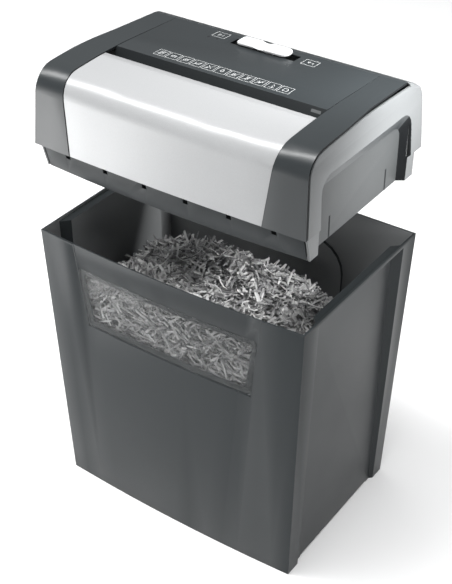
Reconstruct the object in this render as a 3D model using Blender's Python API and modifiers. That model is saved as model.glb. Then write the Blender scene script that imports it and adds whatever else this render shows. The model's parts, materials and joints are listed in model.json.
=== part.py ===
"""Cross-cut paper shredder: a tapered waste bin and the shredding head that is lifted off it.

Metres, +Z up. The origin is the centre of the footprint, on the floor. The feed side faces -Y, and
left and right are as seen from there. The head is modelled lifted clear of the bin by HEAD_LIFT.
"""
import math

import bmesh
import bpy
from mathutils import Matrix, Vector

CLEAR = 0.0020                              # how far a cutting solid passes the face it cuts
GAP = 0.0003                                # the smallest gap between two pieces
MITRE = math.tan(math.radians(22.5))        # how far a 45 degree corner slides when its faces move out

# Waste bin
BIN_HEIGHT = 0.3075
BIN_TOP_HALF, BIN_BASE_HALF = 0.1500, 0.1392
BIN_FRONT_TOP, BIN_FRONT_BASE = -0.0979, -0.0909
BIN_REAR_TOP, BIN_REAR_BASE = 0.1036, 0.0966
BIN_BULGE_TOP, BIN_BULGE_BASE = 0.0065, 0.0045
BIN_WALL = 0.0022
BIN_FLOOR = 0.0035
RIM_LIP = 0.0045
RECESS_FRONT, RECESS_REAR = -0.0733, 0.0798
RECESS_DEPTH_TOP, RECESS_DEPTH_BASE = 0.0085, 0.0032
BASE_NOTCH, BASE_NOTCH_INNER, BASE_NOTCH_INSET = 0.0020, 0.1300, 0.0100
ARCH_HALF, ARCH_BASE, ARCH_TOP, ARCH_RADIUS = 0.073, 0.020, 0.264, 0.032
ARCH_DEPTH = 0.0035

# Window in the bin's front wall
BAND_DEPTH = 0.0008
WINDOW_TOP, WINDOW_BASE = 0.2825, 0.2160
WINDOW_HALF_TOP, WINDOW_HALF_BASE = 0.1042, 0.0963
WINDOW_BORDER = 0.0068
WINDOW_RADIUS, OPENING_RADIUS = 0.0050, 0.0025
WINDOW_TRIM_FRONT, WINDOW_TRIM_REAR = -0.1200, -0.0680
SEAT_DEPTH, PANE_PROUD, PANE_THICK = 0.0019, 0.00045, 0.00115

# Shredding head
HEAD_LIFT = 0.0940
SHELL_BASE = BIN_HEIGHT + HEAD_LIFT
SKIRT_BASE = SHELL_BASE - 0.0262
SHELL = 0.0022
SEAM = 0.0007
HEAD_FRONT, HEAD_REAR = -0.0972, 0.1013
BEYOND = 1.0                                # a distance past any end of the head
HEAD_BULGE, BULGE_START, BULGE_RUN = 0.0030, -0.0500, 0.0400
SIDE_BASE_HALF, SIDE_SHOULDER_HALF = 0.1474, 0.1444
CROWN_FRONT_HALF, CROWN_REAR_HALF, CROWN_TAPER = 0.1440, 0.1390, 0.0450
CORNER_START, CORNER_END = 0.0860, 0.0945
SHOULDER_Z, CROWN_Z = 0.4600, 0.4768
BAND_SEAM_TOP, BAND_SEAM_BASE = 0.1135, 0.1047
THROAT_FRONT, THROAT_REAR = -0.0305, -0.0143
FRONT_LIP_Y, FRONT_LIP_BASE, FRONT_LIP_TOP = -0.0277, 0.4560, 0.4700
REAR_LIP_Y, REAR_LIP_BASE, REAR_LIP_TOP = -0.0225, 0.4540, 0.4640
FASCIA_SUNK = 0.0006
COVER_REAR = 0.0785

# The head's line in side view: y, z and radius of each corner over the top
FRONT_CORNER = (-0.0915, 0.4741, 0.0235)
PEAK = (-0.0260, 0.4778, 0.7500)
REAR_CORNER = (0.0985, 0.4718, 0.0250)

# Cheeks, their hand pockets, and the skirt that hangs into the bin
CHEEK = 0.0020
FLUSH = 0.0003
CHEEK_COLUMNS, ROUND_ROWS = 22, 7
CHEEK_INNER, CHEEK_OUTER = 0.1200, 0.1520
POCKET_HALF, POCKET_OUTER, POCKET_TOP, POCKET_RIM = 0.1375, 0.1450, 0.4325, 0.4470
POCKET_FRONT, POCKET_REAR = -0.0678, 0.0743
POCKET_RADIUS, POCKET_RIM_RADIUS = 0.0120, 0.0180
POCKET_REACH, POCKET_FLARE = 0.0060, 0.3
LINING_SHORT = 0.0012
SKIRT_HALF_BASE, SKIRT_HALF_TOP = 0.1445, 0.1450
SKIRT_FRONT_BASE, SKIRT_FRONT_TOP, SKIRT_REAR = -0.0852, -0.0920, 0.0930
SKIRT_BULGE_TOP, SKIRT_BULGE_BASE = 0.0035, 0.0055
NOTCH_PITCH, NOTCH_COUNT, NOTCH_WIDTH, NOTCH_HEIGHT, NOTCH_REACH = 0.0450, 6, 0.0050, 0.0080, 0.0110

# Tray under the head
TRAY_HALF, TRAY_RISE = 0.1414, 0.0035
TRAY_REAR_HALF, TRAY_REAR_WALL = 0.1399, 0.0023
TRAY_FLOOR_HALF = POCKET_HALF - CHEEK - 2 * GAP
TRAY_FLOOR_Z, TRAY_FLOOR = SKIRT_BASE + 0.0090, 0.0024
OUTLET_HALF, OUTLET_MARGIN = 0.1130, 0.0190
SCREW_PLACES = ((-0.1280, -0.0790), (0.1280, -0.0790), (-0.1280, 0.0830), (0.0050, 0.0830))
SCREW_HEAD_RADIUS, SCREW_HEAD, SCREW_RADIUS, SCREW_LENGTH = 0.0035, 0.0026, 0.0016, 0.0140

# Mode slider on the top cover
SLIDER_Y, SLIDER_LENGTH, SLIDER_WIDTH, SLIDER_HEIGHT = 0.0625, 0.0550, 0.0170, 0.0028
SLIDER_UNDER = 0.4751
SLIDER_RIGHT_RADIUS, SLIDER_LEFT_RADIUS = 0.0070, 0.0040
GRIP_X, GRIP_RISE, GRIP_RADIUS = -0.0020, 0.0105, 0.0120
STEM_HALF, STEM_DEPTH, STEM_BASE = 0.0070, 0.0040, 0.4590
SLOT_HALF, SLOT_WIDTH, SLOT_BASE, SLOT_TOP = 0.0350, 0.0130, 0.4650, 0.4800

# Safety switch, paper sensor and mains cord exit
INTERLOCK_X, INTERLOCK_Y = -0.120, -0.0700
PLUNGER_RADIUS, PLUNGER_BASE, PLUNGER_TOP = 0.0028, 0.3770, 0.3915
LEVER_PIVOT = Vector((0.0, -0.0100, 0.4490))
LEVER_HALF, LEVER_HUB_Y, LEVER_HUB_Z = 0.0015, 0.0020, 0.0030
LEVER_PAST_NIP, LEVER_TOE_TOP, LEVER_TOE_BASE = 0.0015, 0.0035, 0.0065
CORD_X, CORD_Z, CORD_EXIT_RADIUS = -0.1000, 0.4160, 0.0055
CORD_BORE, GLAND_NECK, GLAND_LIP, GLAND_FACE = 0.0034, 0.0052, 0.0075, 0.0060
GLAND_FRONT, GLAND_SEAT, GLAND_EDGE, GLAND_REAR = 0.0970, 0.1015, 0.1020, 0.1034

# Cutting unit
NIP_Y, CUTTER_Z = -0.0260, 0.4240
SHAFT_SPACING = 0.0270
DISC_RADIUS, CORE_RADIUS, JOURNAL_RADIUS = 0.0158, 0.0100, 0.0040
DISC_THICK, DISC_PITCH, DISC_COUNT = 0.0037, 0.0084, 26
CORE_END, SHAFT_LEFT_END = 0.1140, 0.1215
SHAFT_RIGHT_END = {"front": 0.1234, "rear": 0.1305}
PLATE_X, PLATE_THICK, PLATE_RADIUS = 0.1160, 0.0020, 0.0060
PLATE_LOW, PLATE_HIGH, PLATE_FRONT = 0.3940, 0.4480, -0.0600
PLATE_REAR = {"left": 0.0300, "right": 0.0880}
BUSH_RADIUS, BUSH_PROUD = 0.0060, 0.0008
TIE_RODS, TIE_ROD_RADIUS = {"front": (-0.0540, 0.4410), "rear": (0.0200, 0.4020)}, 0.0030
COMB_HALF, COMB_GAP, COMB_THICK = 0.1120, 0.0008, 0.0020
COMB_BELOW, COMB_ABOVE = 0.0120, 0.0080

# Gear train and motor
LAYER_A, LAYER_B, LAYER_C = (0.1195, 0.1230), (0.1237, 0.1270), (0.1277, 0.1310)
MODULE_FINE, MODULE_FINAL, MODULE_CUTTER = 0.0010, 0.0012, 0.0015
TEETH_MOTOR, TEETH_FIRST = 9, 36
TEETH_FIRST_PINION, TEETH_SECOND = 12, 44
TEETH_SECOND_PINION, TEETH_DRIVE = 12, 45
TEETH_CUTTER = 18
TIP_HEIGHT, ROOT_DEPTH = 0.80, 1.15         # in modules
TIP_SHARE, ROOT_SHARE = 0.10, 0.30          # half widths of a tooth, as shares of the pitch
TOWARD_FIRST, TOWARD_MOTOR = math.radians(-30), math.radians(40)
AXLE_RADIUS, AXLE_END = 0.0025, 0.1316
MOTOR_RADIUS, MOTOR_LEFT, MOTOR_RIGHT = 0.0265, 0.024, 0.1155
MOTOR_CHAMFER, MOTOR_HOLE_RADIUS, MOTOR_SHAFT_RADIUS = 0.0040, 0.0070, 0.0020
COLLAR_RADIUS, COLLAR, TAIL_RADIUS, TAIL = 0.0080, 0.0030, 0.0060, 0.0060
GEAR_COVER_WALL = 0.0013
FRONT_Y, REAR_Y = NIP_Y - SHAFT_SPACING / 2, NIP_Y + SHAFT_SPACING / 2

# Plain fittings inside the head: finish and two opposite corners of each
FITTINGS = {
    "motor_saddle": ("black_plastic", (0.0150, 0.0400, 0.3875), (0.0850, 0.0860, 0.4040)),
    "gear_cover": ("black_plastic", (0.1184, -0.0590, 0.3875), (0.1334, 0.0860, 0.4565)),
    "control_board": ("circuit_board", (-0.0900, 0.0350, 0.3960), (-0.0300, 0.0820, 0.3976)),
    "mode_switch": ("black_plastic", (-0.0160, 0.0550, 0.4480), (0.0160, 0.0700, 0.4580)),
    "relay": ("black_plastic", (-0.0860, 0.0420, 0.3979), (-0.0660, 0.0580, 0.4140)),
    "mains_terminal": ("nylon", (-0.0560, 0.0560, 0.3979), (-0.0380, 0.0740, 0.4100)),
    "interlock_switch": ("black_plastic", (-0.1240, -0.0790, 0.3965), (-0.1150, -0.0610, 0.4080)),
    "paper_sensor": ("black_plastic", (-0.0080, -0.0040, 0.4430), (0.0080, 0.0060, 0.4550)),
}

PLASTIC = "charcoal_plastic"
FINISHES = {
    "charcoal_plastic": ((0.060, 0.066, 0.069), 0.42, 0.0),
    "silver_plastic": ((0.560, 0.570, 0.575), 0.30, 0.85),
    "light_plastic": ((0.520, 0.530, 0.535), 0.35, 0.2),
    "clear_plastic": ((0.800, 0.820, 0.820), 0.08, 0.0),
    "black_plastic": ((0.020, 0.021, 0.022), 0.50, 0.0),
    "nylon": ((0.700, 0.690, 0.640), 0.45, 0.0),
    "steel": ((0.480, 0.490, 0.500), 0.32, 1.0),
    "bronze": ((0.480, 0.300, 0.130), 0.38, 1.0),
    "rubber": ((0.025, 0.025, 0.026), 0.80, 0.0),
    "circuit_board": ((0.030, 0.160, 0.070), 0.45, 0.0),
}


# ---------------------------------------------------------------- scene helpers

def clear_scene():
    for obj in list(bpy.data.objects):
        bpy.data.objects.remove(obj, do_unlink=True)


def new_collection(name):
    group = bpy.data.collections.new(name)
    bpy.context.scene.collection.children.link(group)
    return group


def make_material(name):
    colour, roughness, metallic = FINISHES[name]
    material = bpy.data.materials.new(name)
    material.use_nodes = True
    shader = material.node_tree.nodes["Principled BSDF"]
    shader.inputs["Base Color"].default_value = (*colour, 1.0)
    shader.inputs["Roughness"].default_value = roughness
    shader.inputs["Metallic"].default_value = metallic
    return material


def place(name, bm, group, origin=(0, 0, 0)):
    """Turns a bmesh built in world space into an object whose origin is at the given point."""
    bmesh.ops.recalc_face_normals(bm, faces=bm.faces)
    bmesh.ops.translate(bm, verts=bm.verts, vec=-Vector(origin))
    mesh = bpy.data.meshes.new(name)
    bm.to_mesh(mesh)
    bm.free()
    obj = bpy.data.objects.new(name, mesh)
    obj.location = origin
    group.objects.link(obj)
    return obj


def part(name, bm, finish, origin=(0, 0, 0)):
    obj = place(name, bm, PARTS, origin)
    obj.data.materials.append(MATERIALS[finish])
    return obj


def clear_part(name, bm):
    return part(name, bm, "clear_plastic")


def tool(name, bm):
    """A solid that only cuts or joins another: never rendered, drawn as a wire frame."""
    obj = place(name, bm, CUTTERS)
    obj.hide_render = True
    obj.display_type = "WIRE"
    return obj


def combine(target, other, operation):
    modifier = target.modifiers.new(f"{operation.lower()} {other.name}", "BOOLEAN")
    modifier.operation = operation
    modifier.object = other
    modifier.solver = "EXACT"
    return target


def cut(target, *others):
    for other in others:
        combine(target, other, "DIFFERENCE")
    return target


def join(target, *others):
    for other in others:
        combine(target, other, "UNION")
    return target


def smooth(obj, angle=35):
    obj.data.shade_smooth()
    obj.data.set_sharp_from_angle(angle=math.radians(angle))
    return obj


# ---------------------------------------------------------------- shape helpers

def box(low, high):
    bm = bmesh.new()
    size = [h - l for l, h in zip(low, high)]
    middle = [(h + l) / 2 for l, h in zip(low, high)]
    matrix = Matrix.Translation(middle) @ Matrix.Diagonal((*size, 1))
    bmesh.ops.create_cube(bm, size=1, matrix=matrix)
    return bm


def side_box(side, inner, outer, low, high):
    """A box left or right of the middle plane: two distances from it, and low and high as (y, z)."""
    near, far = sorted((side * inner, side * outer))
    return box((near, *low), (far, *high))


def rod(axis, centre, radius, low, high, segments=20):
    """A cylinder along X, Y or Z between two places on that axis; centre gives the other two."""
    bm = bmesh.new()
    turn = {"X": Matrix.Rotation(math.pi / 2, 4, "Y"), "Y": Matrix.Rotation(math.pi / 2, 4, "X"),
            "Z": Matrix.Identity(4)}[axis]
    place_on = list(centre)
    place_on.insert("XYZ".index(axis), (low + high) / 2)
    bmesh.ops.create_cone(bm, cap_ends=True, segments=segments, radius1=radius, radius2=radius,
                          depth=high - low, matrix=Matrix.Translation(place_on) @ turn)
    return bm


def prism(axis, outline, low, high):
    """A flat outline swept along X, Y or Z; its points are in the order of the other two axes."""
    bm = bmesh.new()
    index = "XYZ".index(axis)
    corners = []
    for point in outline:
        position = list(point)
        position.insert(index, low)
        corners.append(bm.verts.new(position))
    face = bm.faces.new(corners)
    swept = bmesh.ops.extrude_face_region(bm, geom=[face])
    moved = [item for item in swept["geom"] if isinstance(item, bmesh.types.BMVert)]
    shift = Vector((0, 0, 0))
    shift[index] = high - low
    bmesh.ops.translate(bm, verts=moved, vec=shift)
    return bm


def hull(points):
    bm = bmesh.new()
    for point in points:
        bm.verts.new(point)
    made = bmesh.ops.convex_hull(bm, input=bm.verts)
    loose = [v for v in made["geom_interior"] if isinstance(v, bmesh.types.BMVert)]
    bmesh.ops.delete(bm, geom=loose, context="VERTS")
    return bm


def loft(rings):
    """Joins closed outlines that have the same number of points, and caps both ends."""
    bm = bmesh.new()
    rows = [[bm.verts.new(point) for point in ring] for ring in rings]
    count = len(rows[0])
    for lower, upper in zip(rows, rows[1:]):
        for i in range(count):
            j = (i + 1) % count
            bm.faces.new((lower[i], lower[j], upper[j], upper[i]))
    bm.faces.new(list(reversed(rows[0])))
    bm.faces.new(rows[-1])
    return bm


def sheet(columns, rows, position):
    """An open grid; position(u, v) gives each point, with u and v running from 0 to 1."""
    bm = bmesh.new()
    bmesh.ops.create_grid(bm, x_segments=columns, y_segments=rows, size=1)
    for vertex in bm.verts:
        vertex.co = position((vertex.co.x + 1) / 2, (vertex.co.y + 1) / 2)
    return bm


def thicken(bm, shift):
    """Closes an open sheet into a slab by sweeping it through one straight shift."""
    swept = bmesh.ops.extrude_face_region(bm, geom=bm.faces[:])
    moved = [item for item in swept["geom"] if isinstance(item, bmesh.types.BMVert)]
    bmesh.ops.translate(bm, verts=moved, vec=shift)
    return bm


def blend(low, high, amount):
    return low + (high - low) * amount


def rounded(corners, steps=5):
    """Replaces each corner (a, b, radius) of an open line by an arc; a radius of 0 keeps it."""
    points = []
    for i, (a, b, radius) in enumerate(corners):
        corner = Vector((a, b))
        if radius == 0 or i in (0, len(corners) - 1):
            points.append(corner)
            continue
        before = (Vector(corners[i - 1][:2]) - corner).normalized()
        after = (Vector(corners[i + 1][:2]) - corner).normalized()
        half = before.angle(after) / 2
        centre = corner + (before + after).normalized() * radius / math.sin(half)
        start = corner + before * radius / math.tan(half) - centre
        sweep = math.pi - 2 * half
        turn = -1 if before.cross(after) > 0 else 1
        for step in range(steps + 1):
            arm = start.copy()
            arm.rotate(Matrix.Rotation(turn * sweep * step / steps, 2))
            points.append(centre + arm)
    return [(p.x, p.y) for p in points]


def rounded_loop(corners, steps=5):
    """Rounds every corner of a closed outline, starting in the middle of its last side."""
    (a0, b0, _), (a1, b1, _) = corners[-1], corners[0]
    middle = ((a0 + a1) / 2, (b0 + b1) / 2, 0)
    return rounded([middle, *corners, middle], steps)[:-1]


# ---------------------------------------------------------------- bin surfaces

def bin_half(z):
    return blend(BIN_BASE_HALF, BIN_TOP_HALF, z / BIN_HEIGHT)


def bin_rear(z):
    return blend(BIN_REAR_BASE, BIN_REAR_TOP, z / BIN_HEIGHT)


def bin_front(x, z):
    """The front wall's outer face, which bows forward between its side edges."""
    level = z / BIN_HEIGHT
    chord = blend(BIN_FRONT_BASE, BIN_FRONT_TOP, level)
    bulge = blend(BIN_BULGE_BASE, BIN_BULGE_TOP, level)
    return chord - bulge * (1 - (x / bin_half(z)) ** 2)


def bin_outline(z, inset, columns=14):
    half = bin_half(z) - inset
    front = [half * (2 * i / columns - 1) for i in range(columns + 1)]
    ring = [(x, bin_front(x, z) + inset, z) for x in front]
    ring.append((half, bin_rear(z) - inset, z))
    ring.append((-half, bin_rear(z) - inset, z))
    return ring


def recess_wedge(side, grow, top):
    """The hollow in a side wall: a tapered block with 45 degree ends, grown by a wall's thickness."""
    points = []
    for z in (-CLEAR, top):
        depth = blend(RECESS_DEPTH_BASE, RECESS_DEPTH_TOP, z / BIN_HEIGHT)
        floor, outside = bin_half(z) - depth - grow, bin_half(z) + CLEAR
        run = outside - floor
        front, rear = RECESS_FRONT + depth - grow * MITRE, RECESS_REAR - depth + grow * MITRE
        points += [(side * floor, front, z), (side * floor, rear, z),
                   (side * outside, front - run, z), (side * outside, rear + run, z)]
    return hull(points)


def arch_block(grow):
    """The arched hollow in the rear wall, parallel to that wall."""
    half, top, radius = ARCH_HALF + grow, ARCH_TOP + grow, ARCH_RADIUS + grow
    line = rounded([(-half, ARCH_BASE - grow, 0), (-half, top, radius), (half, top, radius),
                    (half, ARCH_BASE - grow, 0)])
    bm = prism("Y", line, 0, 1)
    for vertex in bm.verts:
        vertex.co.y = bin_rear(vertex.co.z) + blend(-ARCH_DEPTH - grow, CLEAR, vertex.co.y)
    return bm


def front_slab(half_top, top, half_base, base, outer, inner, columns=14):
    """A slab that follows the bowed front wall between two depths behind its outer face."""
    def position(u, v):
        z = blend(base, top, v)
        x = blend(-1, 1, u) * blend(half_base, half_top, v)
        return Vector((x, bin_front(x, z) + outer, z))
    return thicken(sheet(columns, 2, position), Vector((0, inner - outer, 0)))


def window_outline(inset, radius):
    """The window's outline in front view, with rounded corners, drawn in by an inset."""
    top, base = WINDOW_TOP - inset, WINDOW_BASE + inset
    half_top, half_base = WINDOW_HALF_TOP - inset, WINDOW_HALF_BASE - inset
    return rounded_loop([(half_base, base, radius), (half_top, top, radius),
                         (-half_top, top, radius), (-half_base, base, radius)])


def bowed_window(make, name, inset, radius, outer, inner):
    """A piece of the bowed front wall in the window's outline, between two depths."""
    slab = make(name, front_slab(WINDOW_HALF_TOP, WINDOW_TOP, WINDOW_HALF_BASE, WINDOW_BASE, outer, inner))
    trim = prism("Y", window_outline(inset, radius), WINDOW_TRIM_FRONT, WINDOW_TRIM_REAR)
    return combine(slab, tool(f"{name}_trim", trim), "INTERSECT")


def band_half(z):
    """Half width of the shallow panel that narrows from the rim to the foot of the window."""
    slope = (WINDOW_HALF_TOP - WINDOW_HALF_BASE) / (WINDOW_TOP - WINDOW_BASE)
    return WINDOW_HALF_BASE + slope * (z - WINDOW_BASE)


# ---------------------------------------------------------------- bin

def build_bin():
    body = part("bin_shell", loft([bin_outline(z, 0) for z in (0, BIN_HEIGHT)]), PLASTIC)
    top = BIN_HEIGHT + CLEAR
    cavity = tool("bin_cavity", loft([bin_outline(z, BIN_WALL) for z in (BIN_FLOOR, top)]))
    ledge = BIN_HEIGHT - RIM_LIP
    for side, word in ((-1, "left"), (1, "right")):
        cut(cavity, tool(f"recess_inside_{word}", recess_wedge(side, BIN_WALL, ledge + BIN_WALL)))
        cut(body, tool(f"recess_{word}", recess_wedge(side, 0, ledge)))
        notch = side_box(side, BASE_NOTCH_INNER, BIN_TOP_HALF, (RECESS_FRONT + BASE_NOTCH_INSET, -CLEAR),
                         (RECESS_REAR - BASE_NOTCH_INSET, BASE_NOTCH))
        cut(body, tool(f"base_notch_{word}", notch))
    cut(cavity, tool("arch_inside", arch_block(BIN_WALL)))
    cut(body, cavity, tool("arch", arch_block(0)))

    panel = front_slab(band_half(top) + GAP, top, band_half(WINDOW_BASE) + GAP, WINDOW_BASE - GAP,
                       -CLEAR, BAND_DEPTH)
    seat = bowed_window(tool, "window_seat", GAP, WINDOW_RADIUS, -CLEAR, SEAT_DEPTH)
    opening = bowed_window(tool, "window_opening", WINDOW_BORDER, OPENING_RADIUS, -CLEAR,
                           BIN_WALL + CLEAR)
    cut(body, tool("front_panel", panel), seat, opening)
    smooth(body, 20)
    pane = bowed_window(clear_part, "window_pane", 2 * GAP, WINDOW_RADIUS, PANE_PROUD,
                        PANE_PROUD + PANE_THICK)
    smooth(pane, 20)


# ---------------------------------------------------------------- head surfaces

def head_line(inset=0.0):
    """The head's outer line in side view, from the front's foot over the crown to the rear's foot."""
    foot = SHELL_BASE + GAP
    front_y, front_z, front_radius = FRONT_CORNER
    peak_y, peak_z, peak_radius = PEAK
    rear_y, rear_z, rear_radius = REAR_CORNER
    corners = [(HEAD_FRONT + inset, foot, 0), (front_y + inset, front_z - inset, front_radius - inset),
               (peak_y, peak_z - inset, peak_radius), (rear_y - inset, rear_z - inset, rear_radius - inset),
               (HEAD_REAR - inset, foot, 0)]
    return rounded(corners, steps=6)


def height_at(y):
    """The crown's height above a given y."""
    line = head_line()
    for (y0, z0), (y1, z1) in zip(line, line[1:]):
        if y0 <= y <= y1:
            return blend(z0, z1, (y - y0) / (y1 - y0))
    return CROWN_Z


def eased(value, start, end):
    level = min(max((value - start) / (end - start), 0), 1)
    return level * level * (3 - 2 * level)


def crown_half(y):
    """Half width of the crown: nearly full in front, narrower behind, full again at the corner."""
    crown = blend(CROWN_FRONT_HALF, CROWN_REAR_HALF, eased(y, -CROWN_TAPER, CROWN_TAPER))
    return blend(crown, SIDE_SHOULDER_HALF, eased(y, CORNER_START, CORNER_END))


def side_half(y, z):
    """Half width of the head: a drafted side that rounds over towards the crown."""
    if z < SHELL_BASE:
        return blend(SKIRT_HALF_BASE, SKIRT_HALF_TOP, (z - SKIRT_BASE) / (SHELL_BASE - SKIRT_BASE))
    if z <= SHOULDER_Z:
        level = (z - SHELL_BASE) / (SHOULDER_Z - SHELL_BASE)
        return blend(SIDE_BASE_HALF, SIDE_SHOULDER_HALF, level)
    top = max(height_at(y), SHOULDER_Z + CHEEK)
    rise = min((z - SHOULDER_Z) / (top - SHOULDER_Z), 1)
    return blend(crown_half(y), SIDE_SHOULDER_HALF, math.sqrt(1 - rise * rise))


def line_between(start, end):
    """The part of the head's line with start <= y <= end, counted over the top."""
    inner = [(y, z) for y, z in head_line() if start < y < end]
    first = [] if start <= HEAD_FRONT else [(start, height_at(start))]
    last = [] if end >= HEAD_REAR else [(end, height_at(end))]
    return first + inner + last


def bulge_at(x, y):
    """How far the front bows forward: none on the top, all of it on the front face."""
    level = min(max((BULGE_START - y) / BULGE_RUN, 0), 1)
    return -HEAD_BULGE * level * (1 - (x / SIDE_BASE_HALF) ** 2)


def band_seam(z):
    return blend(BAND_SEAM_BASE, BAND_SEAM_TOP, (z - SHELL_BASE) / (CROWN_Z - SHELL_BASE))


def skin(name, line, left, right, columns, finish=PLASTIC, sunk=0.0):
    """A moulded cover: an open sheet along a side-view line, thickened inwards, or sunk below it."""
    rows = len(line) - 1

    def position(u, v):
        y, z = line[round(v * rows)]
        x = blend(left(y, z), right(y, z), u)
        return Vector((x, y + bulge_at(x, y), z))
    bm = sheet(columns, rows, position)
    mesh = bpy.data.meshes.new(name)
    bm.to_mesh(mesh)
    bm.free()
    obj = bpy.data.objects.new(name, mesh)
    PARTS.objects.link(obj)
    obj.data.materials.append(MATERIALS[finish])
    shell = obj.modifiers.new("shell", "SOLIDIFY")
    shell.thickness = SHELL
    shell.offset = -1 - 2 * sunk / SHELL
    shell.use_even_offset = True
    return smooth(obj)


def build_covers():
    front_lip = [(FRONT_LIP_Y, FRONT_LIP_TOP), (FRONT_LIP_Y, FRONT_LIP_BASE)]
    rear_lip = [(REAR_LIP_Y, REAR_LIP_BASE), (REAR_LIP_Y, REAR_LIP_TOP)]
    fascia = line_between(-BEYOND, THROAT_FRONT) + front_lip
    skin("front_fascia", fascia, lambda y, z: -band_seam(z) + SEAM, lambda y, z: band_seam(z) - SEAM, 10,
         "silver_plastic", FASCIA_SUNK)
    cover = skin("top_cover", rear_lip + line_between(THROAT_REAR, COVER_REAR),
                 lambda y, z: -BAND_SEAM_TOP + SEAM, lambda y, z: BAND_SEAM_TOP - SEAM, 2)
    slot = box((-SLOT_HALF, SLIDER_Y - SLOT_WIDTH / 2, SLOT_BASE),
               (SLOT_HALF, SLIDER_Y + SLOT_WIDTH / 2, SLOT_TOP))
    cut(cover, tool("slider_slot", slot))

    def over_cheek(y, z):
        return side_half(y, z) - FLUSH

    def beside_cheek(y, z):
        return side_half(y, z) - CHEEK - SEAM - FLUSH
    band = line_between(-BEYOND, COVER_REAR)
    skin("end_band_left", band, lambda y, z: -over_cheek(y, z), lambda y, z: -band_seam(z), 2)
    skin("end_band_right", band, lambda y, z: band_seam(z), over_cheek, 2)

    rear = line_between(COVER_REAR + SEAM, BEYOND)
    panel = skin("rear_panel", rear, lambda y, z: -beside_cheek(y, z), beside_cheek, 2)
    exit_hole = rod("Y", (CORD_X, CORD_Z), CORD_EXIT_RADIUS, HEAD_REAR - SHELL - CLEAR,
                    HEAD_REAR + CLEAR, 16)
    cut(panel, tool("cord_exit", exit_hole))


def cheek_outline():
    """The cheek's outline in side view: under the covers in front, up to the head's line at the
    rear, and down to the foot of the skirt that hangs into the bin."""
    under = SHELL + SEAM
    line = [(y, z) for y, z in head_line(under) if y < COVER_REAR]
    line[0] = (HEAD_FRONT + under, SHELL_BASE)
    step = COVER_REAR + SEAM
    line += [(step, height_at(step) - under)] + line_between(step, BEYOND)
    line[-1] = (HEAD_REAR, SHELL_BASE)
    return line + [(SKIRT_REAR, SHELL_BASE), (SKIRT_REAR, SKIRT_BASE), (SKIRT_FRONT_BASE, SKIRT_BASE),
                   (SKIRT_FRONT_TOP, SHELL_BASE)]


def cheek_levels(y):
    """Heights at which the cheek's section is drawn: closer together where it rounds over."""
    top = max(height_at(y), SHOULDER_Z + CHEEK)
    rows = [SKIRT_BASE - CLEAR, SHELL_BASE - CHEEK, SHELL_BASE + GAP, SHOULDER_Z]
    for i in range(1, ROUND_ROWS + 1):
        rows.append(SHOULDER_Z + (top - SHOULDER_Z) * math.sin(math.pi / 2 * i / ROUND_ROWS))
    return rows + [top + CLEAR]


def pocket(side, grow, reach, low):
    """The hand hollow in a cheek, open below: a flat floor, a sloping roof and 45 degree ends.

    It is grown by a wall's thickness, and ends a reach outside POCKET_OUTER.
    """
    def ring(x, front, rear, top, radius):
        line = rounded([(front, low, 0), (front, top, radius), (rear, top, radius), (rear, low, 0)],
                       steps=4)
        return [(side * x, y, z) for y, z in line]
    run = POCKET_OUTER - POCKET_HALF
    spread = run + reach * POCKET_FLARE
    rise = (POCKET_RIM - POCKET_TOP) * (1 + reach / run)
    front, rear, top = POCKET_FRONT - grow * MITRE, POCKET_REAR + grow * MITRE, POCKET_TOP + grow
    floor = ring(POCKET_HALF - grow, front, rear, top, POCKET_RADIUS)
    rim = ring(POCKET_OUTER + reach, front - spread, rear + spread, top + rise, POCKET_RIM_RADIUS)
    return hull(floor + rim)


def build_cheek(side, word):
    rows = len(cheek_levels(0)) - 1

    def outside(u, v):
        y = blend(HEAD_FRONT - CLEAR, HEAD_REAR + CLEAR, u)
        z = cheek_levels(y)[round(v * rows)]
        return Vector((side * side_half(y, z), y, z))
    wall = thicken(sheet(CHEEK_COLUMNS, rows, outside), Vector((-side * CHEEK, 0, 0)))
    cheek = part(f"side_cheek_{word}", wall, PLASTIC)
    blank = prism("X", cheek_outline(), side * CHEEK_INNER, side * CHEEK_OUTER)
    combine(cheek, tool(f"cheek_blank_{word}", blank), "INTERSECT")
    lining = pocket(side, CHEEK, -LINING_SHORT, SKIRT_BASE)
    hollow = pocket(side, 0, POCKET_REACH, SKIRT_BASE - CLEAR)
    join(cheek, tool(f"pocket_lining_{word}", lining))
    cut(cheek, tool(f"pocket_{word}", hollow))


def tray_front(x, z):
    """The skirt's front wall, outer face: it leans and bows forward."""
    level = (z - SKIRT_BASE) / (SHELL_BASE - SKIRT_BASE)
    bulge = blend(SKIRT_BULGE_BASE, SKIRT_BULGE_TOP, level)
    return blend(SKIRT_FRONT_BASE, SKIRT_FRONT_TOP, level) - bulge * (1 - (x / TRAY_HALF) ** 2)


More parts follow.
